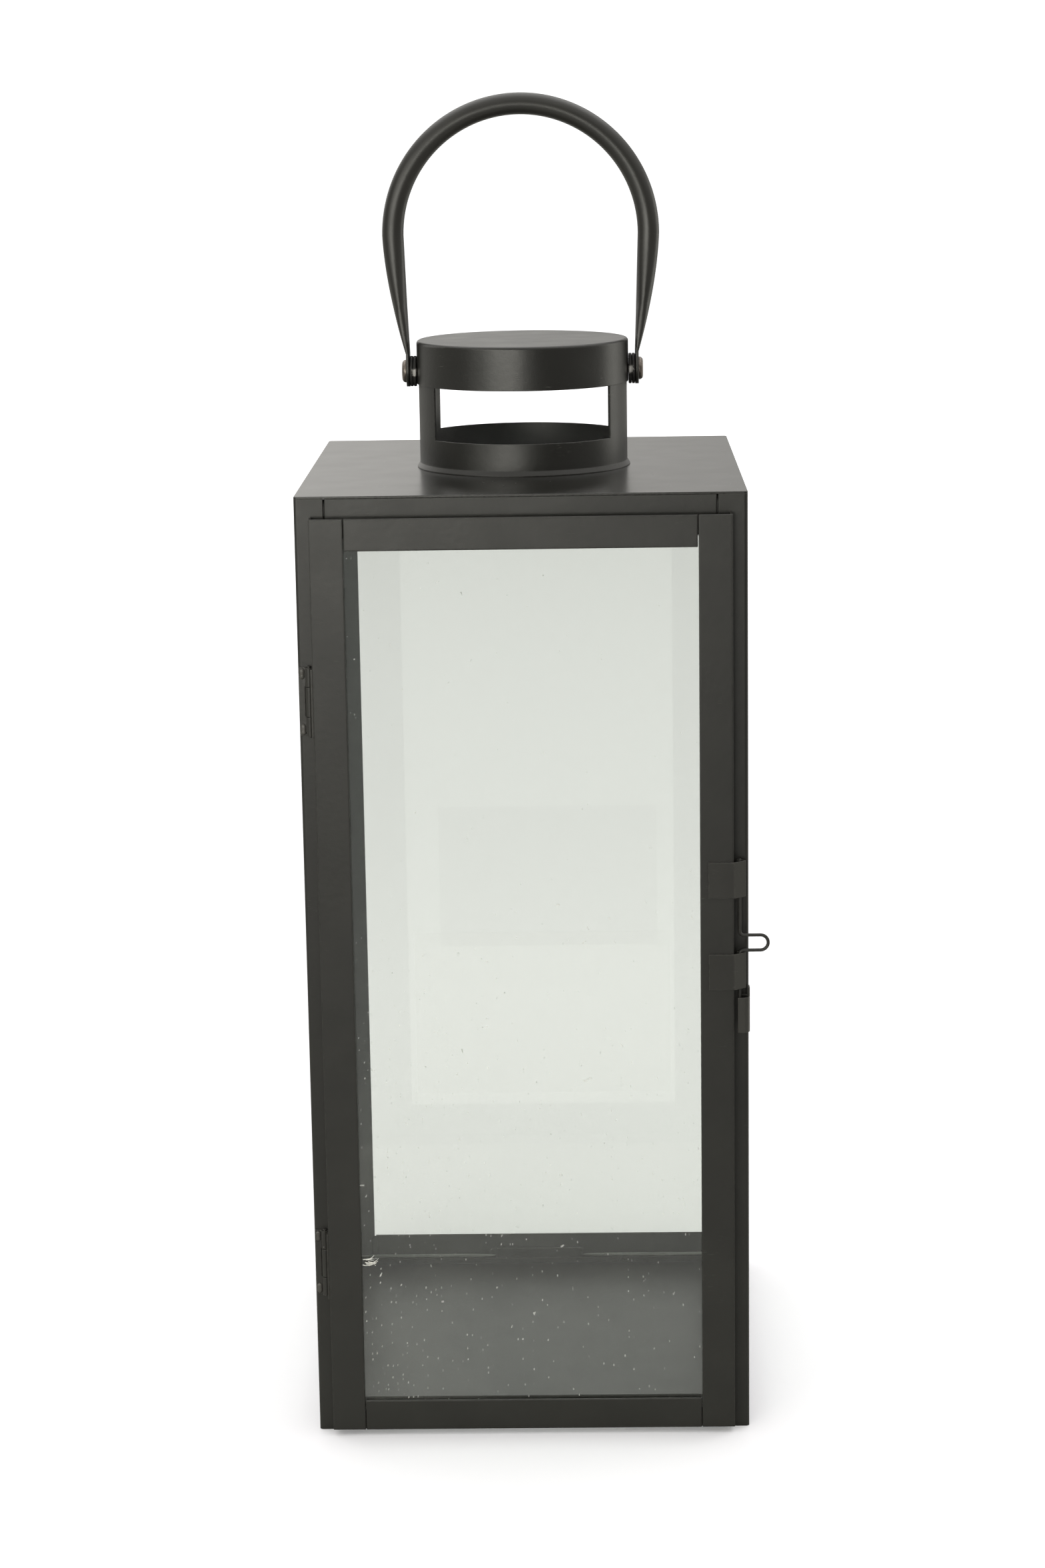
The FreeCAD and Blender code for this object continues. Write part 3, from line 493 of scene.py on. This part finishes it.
def dress_frame():
    """Give every CAD node its material, and return the coat of the frame."""
    coat = powder_coat("powder_coat_frame")
    coat_door = powder_coat("powder_coat_door", seed=1.9, fold=0.0011, worn_edge=0.25)
    coat_small = powder_coat("powder_coat_fittings", seed=4.7, base=FITTING_PAINT_LIT, roughness=0.34,
                             fold=0.0005, worn_edge=1.0)
    # Past the door's edge the latch coat is painted paler: a painted sheen.
    door_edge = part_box("door_stile_right")[1].x
    coat_latch = powder_coat("powder_coat_latch", seed=5.9, base=FITTING_PAINT_LIT, roughness=0.35,
                             fold=0.0005, worn_edge=1.0, sheen_from=door_edge)
    by_name = {
        "chimney_collar": powder_coat("powder_coat_collar", seed=0.4, rubbed=0.8),
        "chimney_cap": powder_coat("powder_coat_cap", seed=0.4, rubbed=0.8, roughness=0.36),
        "top_plate": powder_coat("powder_coat_top", seed=3.3, roughness=0.25, spread=0.01, peeled=0.025),
        # The clips' light edge lines are partly edge wear and partly a painted highlight along their
        # edges.
        "pane_clips": powder_coat("powder_coat_clips", seed=7.3, fold=0.0009, worn_edge=1.0),
        "handle_rivets": dull_steel("rivet_steel"),
        "pivot_washers": washer_rubber("washer_rubber"),
    }
    by_name.update(make_panes())
    by_start = (
        ("latch_strap", coat_latch),
        ("latch_keeper", coat_latch),
        ("hinge", coat_small),
        ("door", coat_door),
        ("latch_bolt", coat_door),
        ("", coat),
    )
    for name, node in frame["nodes"].items():
        if name in by_name:
            material = by_name[name]
        else:
            material = next(finish for start, finish in by_start if name.startswith(start))
        node.data.materials.clear()
        node.data.materials.append(material)
    return coat


coat_frame = dress_frame()


# ---- building added pieces ------------------------------------------------------------------

BEAD_SIDES = 8
BEAD_FEWEST_RINGS = 4
BEAD_END_POWER = 6
BEAD_END_SIZE = 0.04


def skin(build, loops):
    """Join closed loops one after another into a tube, and cap both ends."""
    for first, second in zip(loops, loops[1:]):
        for here in range(len(first)):
            there = (here + 1) % len(first)
            build.faces.new((first[here], first[there], second[there], second[here]))
    build.faces.new(loops[0])
    build.faces.new(loops[-1])


def add_bead(build, start, end, across, out, width, depth, step, ripple, dice):
    """A half-round bead from start to end on a flat face that out points away from."""
    rings = max(int((end - start).length / step), BEAD_FEWEST_RINGS)
    loops = []
    for ring in range(rings + 1):
        share = ring / rings
        taper = math.sqrt(max(1 - abs(2 * share - 1) ** BEAD_END_POWER, BEAD_END_SIZE))
        swell = taper * (1 + ripple * dice.uniform(-1, 1))
        centre = start.lerp(end, share)
        loop = []
        for side in range(BEAD_SIDES + 1):
            turn = math.pi * side / BEAD_SIDES
            offset = across * (math.cos(turn) * width / 2 * swell) + out * (math.sin(turn) * depth * swell)
            loop.append(build.verts.new(centre + offset))
        loops.append(loop)
    skin(build, loops)


def add_piece(name, build, material, body="lantern_body"):
    """Turn a bmesh into a smooth piece that rides on a body."""
    bmesh.ops.recalc_face_normals(build, faces=build.faces)
    mesh = bpy.data.meshes.new(name)
    build.to_mesh(mesh)
    build.free()
    mesh.shade_smooth()
    mesh.materials.append(material)
    piece = bpy.data.objects.new(name, mesh)
    bpy.context.scene.collection.objects.link(piece)
    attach(piece, body)
    return piece


# ---- bail -----------------------------------------------------------------------------------

BAIL_TUBE = 0.0050
BAIL_SHEET = 0.0017
BAIL_CLEAR = 0.00008
BAIL_MARGIN = 0.0010
BAIL_HOLE = 0.00208
BAIL_HOLE_SIDES = 40
BAIL_PRESS = 1.77
BAIL_ARC_STEPS = 72
BAIL_LEG_STEPS = 30
BAIL_TIP_STEPS = 10
BAIL_TIP_TURN = math.radians(86)
BAIL_SIDES = 36
BAIL_ROUND = 2.0
BAIL_SQUARE = 5.0
BAIL_SQUARE_FROM = 0.6
BAIL_SHARP = math.radians(35)


def bail_section(build, centre, normal, depth, width, square):
    """One closed ring of the bail: oval in the tube, squarer where it is pressed flat."""
    ring = []
    for side in range(BAIL_SIDES):
        turn = 2 * math.pi * side / BAIL_SIDES
        across = math.cos(turn)
        along = math.sin(turn)
        across = math.copysign(abs(across) ** (2 / square), across)
        along = math.copysign(abs(along) ** (2 / square), along)
        offset = normal * (across * depth) + Vector((0, along * width, 0))
        ring.append(build.verts.new(centre + offset))
    return ring


def bail_end(build, side, hoop, hoop_z, pivot):
    """Rings of one leg from the hoop down to its rounded tip."""
    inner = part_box("pivot_washers")[1].x + BAIL_CLEAR
    half_sheet = BAIL_SHEET / 2
    half_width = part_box("bail_handle")[1].y
    top = pivot + half_width + BAIL_MARGIN
    normal = Vector((side, 0, 0))
    rings = []
    for step in range(1, BAIL_LEG_STEPS + 1):
        fall = step / BAIL_LEG_STEPS
        spread = fall * fall * (3 - 2 * fall)
        depth = half_sheet + (BAIL_TUBE - half_sheet) * (1 - fall ** BAIL_PRESS)
        width = BAIL_TUBE + (half_width - BAIL_TUBE) * spread
        face = (hoop - BAIL_TUBE) * (1 - fall) + inner * fall
        centre = Vector((side * (face + depth), 0, hoop_z + (top - hoop_z) * fall))
        pressed = max(fall - BAIL_SQUARE_FROM, 0) / (1 - BAIL_SQUARE_FROM)
        square = BAIL_ROUND + (BAIL_SQUARE - BAIL_ROUND) * pressed
        rings.append(bail_section(build, centre, normal, depth, width, square))
    flat = Vector((side * (inner + half_sheet), 0, pivot))
    for step in range(BAIL_TIP_STEPS + 1):
        turn = BAIL_TIP_TURN * step / BAIL_TIP_STEPS
        centre = flat - Vector((0, 0, half_width * math.sin(turn)))
        width = half_width * math.cos(turn)
        rings.append(bail_section(build, centre, normal, half_sheet, width, BAIL_SQUARE))
    return rings


def drill(piece, pivot, reach):
    """Cut the rivet hole through both pressed ends."""
    build = bmesh.new()
    turn = Matrix.Translation((0, 0, pivot)) @ Matrix.Rotation(math.pi / 2, 4, "Y")
    bmesh.ops.create_cone(
        build,
        cap_ends=True,
        segments=BAIL_HOLE_SIDES,
        radius1=BAIL_HOLE,
        radius2=BAIL_HOLE,
        depth=2 * reach,
        matrix=turn,
    )
    mesh = bpy.data.meshes.new("rivet_drill")
    build.to_mesh(mesh)
    build.free()
    bit = bpy.data.objects.new("rivet_drill", mesh)
    bpy.context.scene.collection.objects.link(bit)
    cut = piece.modifiers.new("rivet_hole", "BOOLEAN")
    cut.operation = "DIFFERENCE"
    cut.object = bit
    shaped = piece.evaluated_get(bpy.context.evaluated_depsgraph_get())
    drilled = bpy.data.meshes.new_from_object(shaped)
    piece.modifiers.clear()
    piece.data = drilled
    drilled.set_sharp_from_angle(angle=BAIL_SHARP)
    bpy.data.objects.remove(bit)


def bail_tube():
    """The bail as one smooth tube, bent round the hoop and pressed flat at its two ends."""
    pivot = next(joint["pos_m"][2] for joint in frame["joints"] if joint["name"] == "handle_swing")
    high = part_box("bail_handle")[1]
    hoop = high.x - BAIL_TUBE
    hoop_z = high.z - high.x
    centre = Vector((0, 0, hoop_z))
    build = bmesh.new()
    arc = []
    for step in range(BAIL_ARC_STEPS + 1):
        turn = math.pi * step / BAIL_ARC_STEPS
        normal = Vector((math.cos(turn), 0, math.sin(turn)))
        place = normal * hoop + centre
        arc.append(bail_section(build, place, normal, BAIL_TUBE, BAIL_TUBE, BAIL_ROUND))
    right = bail_end(build, 1, hoop, hoop_z, pivot)
    left = bail_end(build, -1, hoop, hoop_z, pivot)
    skin(build, right[::-1] + arc + left)
    coat = powder_coat("powder_coat_bail", seed=2.6, base=FITTING_PAINT_LIT, rubbed=0.15, roughness=0.37,
                       peeled=0.05, worn_edge=0.1)
    piece = add_piece("bail_tube", build, coat, body="handle")
    drill(piece, pivot, high.x)
    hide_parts("bail_handle")


# ---- welds, sealant and glue ----------------------------------------------------------------

WELD_WIDTH = 0.0040
WELD_DEPTH = 0.0004
WELD_MARGIN = 0.0003
WELD_STEP = 0.0012
WELD_RIPPLE = 0.08
WELD_SEED = 11
INWARD = {
    "front": Vector((0, 1, 0)),
    "back": Vector((0, -1, 0)),
    "left": Vector((1, 0, 0)),
    "right": Vector((-1, 0, 0)),
}
TACK_LENGTH = 0.0052
TACK_WIDTH = 0.0023
TACK_DEPTH = 0.0006
TACK_RINGS = 9
TACK_RIPPLE = 0.14
TACK_SEED = 23
LEAF_SHEET = 0.0009
SEAL_HEIGHT = 0.0019
SEAL_DEPTH = 0.00035
SEAL_MARGIN = 0.0006
SEAL_RIPPLE = 0.10
SEAL_SEED = 31


def seam_welds():
    """A flat weld behind each butt seam between a rail and a post, so that no light shows through."""
    build = bmesh.new()
    dice = random.Random(WELD_SEED)
    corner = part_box("post_back_right")[0]
    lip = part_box("floor_tray")[1].z
    for level in ("top", "bottom"):
        for side, out in INWARD.items():
            low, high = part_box(f"{level}_rail_{side}")
            along = Vector((abs(out.y), abs(out.x), 0))
            through = Vector((abs(out.x), abs(out.y), 0))
            seam = (along.dot(high) + along.dot(corner)) / 2
            face = high if out.x + out.y > 0 else low
            foot = max(low.z, lip) + WELD_MARGIN
            head = high.z - WELD_MARGIN
            for end in (-1, 1):
                place = along * (seam * end) + through * through.dot(face)
                start = place + Vector((0, 0, foot))
                finish = place + Vector((0, 0, head))
                add_bead(build, start, finish, along, out, WELD_WIDTH, WELD_DEPTH, WELD_STEP,
                         WELD_RIPPLE, dice)
    add_piece("seam_welds", build, coat_frame)


def hinge_tacks():
    """Four tack welds that hold the hinge leaves to the left front post."""
    build = bmesh.new()
    dice = random.Random(TACK_SEED)
    across = Vector((1, 0, 0))
    out = Vector((0, -1, 0))
    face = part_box("post_front_left")[0].y - LEAF_SHEET
    for hinge in ("upper", "lower"):
        low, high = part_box(f"hinge_{hinge}_body_leaf")
        middle = low.x + WELD_MARGIN + TACK_WIDTH / 2
        for foot in (low.z + WELD_MARGIN, high.z - WELD_MARGIN - TACK_LENGTH):
            start = Vector((middle, face, foot))
            finish = start + Vector((0, 0, TACK_LENGTH))
            add_bead(build, start, finish, across, out, TACK_WIDTH, TACK_DEPTH,
                     TACK_LENGTH / TACK_RINGS, TACK_RIPPLE, dice)
    coat = powder_coat("powder_coat_welds", seed=6.7, base=WELD_PAINT, roughness=0.36)
    add_piece("hinge_tack_welds", build, coat)


def pane_seal():
    """Sealant along the foot of the back pane, one run on each side of its clip."""
    build = bmesh.new()
    dice = random.Random(SEAL_SEED)
    across = Vector((0, 0, 1))
    out = Vector((0, -1, 0))
    low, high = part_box("glass_back")
    half_clip = abs(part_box("pane_clips")[0].y)
    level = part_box("floor_tray")[1].z + SEAL_HEIGHT / 2 + WELD_MARGIN
    for end in (-1, 1):
        start = Vector((end * (half_clip + SEAL_MARGIN), low.y, level))
        finish = Vector((end * (high.x - SEAL_MARGIN), low.y, level))
        add_bead(build, start, finish, across, out, SEAL_HEIGHT, SEAL_DEPTH, WELD_STEP,
                 SEAL_RIPPLE, dice)
    add_piece("pane_sealant", build, clear_sealant("clear_sealant"))


THREAD_COUNT = 14
THREAD_RADIUS = 0.00019
THREAD_ROOT_RADIUS = 1.25
THREAD_TAPER = 0.7
THREAD_LENGTH = (0.0016, 0.0050)
THREAD_LEAN = (-32, 38)
THREAD_BOW = 0.5
THREAD_POINTS = 6
THREAD_SIDES = 6
THREAD_LEVEL = 0.0842
THREAD_SPREAD = (-0.0022, 0.0024)
THREAD_REACH = 0.0032
THREAD_STACK = 0.0004
THREAD_SEED = 47


def glue_strings():
    """Frayed strings of dried glue on the door pane, at the edge of its left stile."""
    build = bmesh.new()
    dice = random.Random(THREAD_SEED)
    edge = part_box("door_stile_left")[1].x + THREAD_RADIUS * 2
    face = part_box("door_glass")[0].y - THREAD_RADIUS * 1.5
    for thread in range(THREAD_COUNT):
        lean = math.radians(dice.uniform(*THREAD_LEAN))
        length = dice.uniform(*THREAD_LENGTH)
        root_x = edge + dice.uniform(0, THREAD_REACH)
        root_y = face - dice.uniform(0, THREAD_STACK)
        root_z = THREAD_LEVEL + dice.uniform(*THREAD_SPREAD)
        root = Vector((root_x, root_y, root_z))
        bow = dice.uniform(-THREAD_BOW, THREAD_BOW)
        loops = []
        for point in range(THREAD_POINTS):
            share = point / (THREAD_POINTS - 1)
            turn = lean + bow * share
            centre = root + Vector((math.cos(turn), 0, math.sin(turn))) * (length * share)
            normal = Vector((-math.sin(turn), 0, math.cos(turn)))
            radius = THREAD_RADIUS * (THREAD_ROOT_RADIUS - THREAD_TAPER * share)
            loop = []
            for side in range(THREAD_SIDES):
                angle = 2 * math.pi * side / THREAD_SIDES
                offset = normal * (math.cos(angle) * radius) + Vector((0, math.sin(angle) * radius, 0))
                loop.append(build.verts.new(centre + offset))
            loops.append(loop)
        skin(build, loops)
    add_piece("glue_strings", build, glue_thread("dried_glue"), body="door")


bail_tube()
seam_welds()
hinge_tacks()
pane_seal()
glue_strings()


# ---- floor ----------------------------------------------------------------------------------

FLOOR_FRONT = -0.55
FLOOR_BACK = 5.0
FLOOR_HALF = 5.0
FLOOR_SHADE = 0.93
FLOOR_ECHO = 0.44
FLOOR_GLOW = 0.12
# Painted shade of the far floor, seen through the panes.
FLOOR_FAR_SHADE = 0.93
CARD_Y = -1.2
CARD_LEFT = -0.107
CARD_RIGHT = 0.091
CARD_LOW = -0.17
CARD_HIGH = -0.04
CARD_SHADE = 0.85
STAGE_BLUE = 1.05
STAGE_WARM = 0.94
STAGE_UNEVEN = 0.975
STAGE_ROUGHNESS = 0.75
STAGE_SPECULAR = 0.2
HAZE_DEPTH = (0.8, 3.5, 0.0, 0.5)
FAR_SHADE_DEPTH = (0.5, 1.3)
FAR_SHADE_ASIDE = (0.02, 0.30, 0.0, 0.5)
WHITE = (1, 1, 1, 1)


def direct_view(nodes):
    """1 for what the eye sees directly or through glass, 0 for bounced light."""
    path = nodes.add("ShaderNodeLightPath")
    return nodes.math("MAXIMUM", path.outputs["Is Camera Ray"], path.outputs["Is Transmission Ray"])


def pale_surface(name, shade, echo, glow=0.0, dim=1.0):
    """Plain matt white, very slightly uneven; echo is its shade as a source of bounced light.

    glow lifts what is seen directly. dim is how much of its shade is left further back, and sooner to the
    right, where it is seen through the lantern's panes: painted shade, the floor made darker there as if
    less lit.
    """
    material, nodes = new_material(name)
    place = nodes.place()
    depth = nodes.axis(place, "Y")
    light = (shade, shade, shade * STAGE_BLUE, 1)
    tone = nodes.blend(nodes.noise(place, 3.0, 4.0), shaded(light, STAGE_UNEVEN), light)
    seen = direct_view(nodes)
    path = nodes.add("ShaderNodeLightPath")
    haze = nodes.ramp(depth, *HAZE_DEPTH, smooth=True)
    haze = nodes.math("MULTIPLY", path.outputs["Is Camera Ray"], haze)
    # Painted shade: seen through the panes, the floor is darker further back and towards the right.
    far_shade = nodes.ramp(depth, *FAR_SHADE_DEPTH, smooth=True)
    aside = nodes.ramp(nodes.axis(place, "X"), *FAR_SHADE_ASIDE, smooth=True)
    far_shade = nodes.math("MULTIPLY", far_shade, nodes.math("ADD", aside, 1.0))
    far_shade = nodes.math("MULTIPLY", path.outputs["Is Transmission Ray"], far_shade)
    tone = nodes.blend(far_shade, tone, shaded(light, dim))
    tone = nodes.blend(seen, (echo, echo, echo * STAGE_WARM, 1), tone)
    shader = nodes.add("ShaderNodeBsdfPrincipled", {
        "Base Color": tone,
        "Roughness": STAGE_ROUGHNESS,
        "Specular IOR Level": STAGE_SPECULAR,
        "Emission Color": WHITE,
        "Emission Strength": nodes.math("ADD", nodes.math("MULTIPLY", seen, glow), haze),
    })
    finish_surface(nodes, shader.outputs[0])
    return material


def flat_panel(name, corners, material):
    """A flat stage panel through the given corners."""
    mesh = bpy.data.meshes.new(name)
    build = bmesh.new()
    build.faces.new([build.verts.new(corner) for corner in corners])
    build.to_mesh(mesh)
    build.free()
    mesh.materials.append(material)
    panel = bpy.data.objects.new(name, mesh)
    bpy.context.scene.collection.objects.link(panel)


def stage_floor():
    """White floor that ends a little in front of the lantern, and a card low before it."""
    floor = (
        (-FLOOR_HALF, FLOOR_FRONT, 0),
        (FLOOR_HALF, FLOOR_FRONT, 0),
        (FLOOR_HALF, FLOOR_BACK, 0),
        (-FLOOR_HALF, FLOOR_BACK, 0),
    )
    card = (
        (CARD_LEFT, CARD_Y, CARD_LOW),
        (CARD_RIGHT, CARD_Y, CARD_LOW),
        (CARD_RIGHT, CARD_Y, CARD_HIGH),
        (CARD_LEFT, CARD_Y, CARD_HIGH),
    )
    pale_floor = pale_surface("pale_floor", FLOOR_SHADE, echo=FLOOR_ECHO, glow=FLOOR_GLOW, dim=FLOOR_FAR_SHADE)
    flat_panel("floor", floor, pale_floor)
    flat_panel("card", card, pale_surface("pale_card", CARD_SHADE, echo=CARD_SHADE))


# ---- surround and lamps ---------------------------------------------------------------------

# Strengths are low to high over the range of directions named with them, from -1 to 1.
WORLD_SEEN = 1.2
WORLD_TOP = 1.0
TOP_RISE = (0.25, 0.85)
WORLD_BACK = (1.04, 0.54)
BACK_SIDES = (-0.16, 0.14)
BACK_DEPTH = (0.1, 0.7)
WORLD_FRONT = 0.18
FRONT_DEPTH = (-1.0, -0.3)
WORLD_SIDES = (0.26, 0.62)
SIDES_REACH = (-0.6, 0.6)
WORLD_UNDER = (0.36, 0.19)
UNDER_RISE = (-0.32, -0.08)
UNDER_LEAN = (1.2, 0.9)
LEAN_REACH = (-0.2, 0.2)
HORIZON = (-0.05, 0.05)
WORLD_TINT = (1, 0.98, 0.935, 1)


def studio_world():
    """White surround that looks white, but lights the lantern more from behind and above."""
    world = bpy.data.worlds.new("studio")
    world.use_nodes = True
    bpy.context.scene.world = world
    nodes = Nodes(world.node_tree)
    way = nodes.add("ShaderNodeTexCoord").outputs["Generated"]
    across = nodes.axis(way, "X")
    depth = nodes.axis(way, "Y")
    rise = nodes.axis(way, "Z")
    sides = nodes.ramp(across, *SIDES_REACH, *WORLD_SIDES, smooth=True)
    front = nodes.lerp(nodes.ramp(depth, *FRONT_DEPTH, smooth=True), WORLD_FRONT, sides)
    rear = nodes.ramp(across, *BACK_SIDES, *WORLD_BACK, smooth=True)
    around = nodes.lerp(nodes.ramp(depth, *BACK_DEPTH, smooth=True), front, rear)
    upper = nodes.lerp(nodes.ramp(rise, *TOP_RISE, smooth=True), around, WORLD_TOP)
    under = nodes.ramp(rise, *UNDER_RISE, *WORLD_UNDER, smooth=True)
    under = nodes.math("MULTIPLY", under, nodes.ramp(across, *LEAN_REACH, *UNDER_LEAN))
    light = nodes.lerp(nodes.ramp(rise, *HORIZON, smooth=True), under, upper)
    seen = direct_view(nodes)
    strength = nodes.lerp(seen, light, WORLD_SEEN)
    tint = nodes.blend(seen, WORLD_TINT, WHITE)
    back = nodes.add("ShaderNodeBackground", {"Color": tint, "Strength": strength})
    nodes.add("ShaderNodeOutputWorld", {"Surface": back.outputs[0]})


LAMP_WARM = (1.0, 0.985, 0.90)
LAMP_WHITE = (1, 1, 1)
# Name, place, target, width and height in metres, power in watts, tint.
LAMPS = (
    ("key", (-0.64, -1.88, 0.50), (0, 0, 0.35), (1.1, 0.45), 10.0, LAMP_WARM),
    ("low", (-0.15, -1.75, 0.35), (0, 0, 0.40), (0.7, 0.25), 1.6, LAMP_WARM),
    ("side", (-0.95, -1.10, 0.75), (0, 0, 0.40), (0.8, 0.8), 3.6, LAMP_WARM),
    ("top", (0.0, 1.2, 2.6), (0, 1.0, 0), (4.0, 3.0), 38, LAMP_WHITE),
    ("rim", (1.25, 0.55, 0.52), (0, 0, 0.40), (0.6, 0.9), 2.2, LAMP_WARM),
)


def soft_light(name, place, target, size, power, tint):
    """A rectangular lamp that isn't itself seen, directly or through the panes."""
    data = bpy.data.lights.new(name, "AREA")
    data.shape = "RECTANGLE"
    data.size = size[0]
    data.size_y = size[1]
    data.energy = power
    data.color = tint
    lamp = bpy.data.objects.new(name, data)
    lamp.visible_camera = False
    lamp.visible_transmission = False
    bpy.context.scene.collection.objects.link(lamp)
    lamp.location = place
    lamp.rotation_mode = "QUATERNION"
    lamp.rotation_quaternion = (Vector(target) - Vector(place)).to_track_quat("-Z", "Y")


stage_floor()
studio_world()
for lamp in LAMPS:
    soft_light(*lamp)

view = bpy.context.scene.view_settings
view.view_transform = "Standard"
view.look = "None"
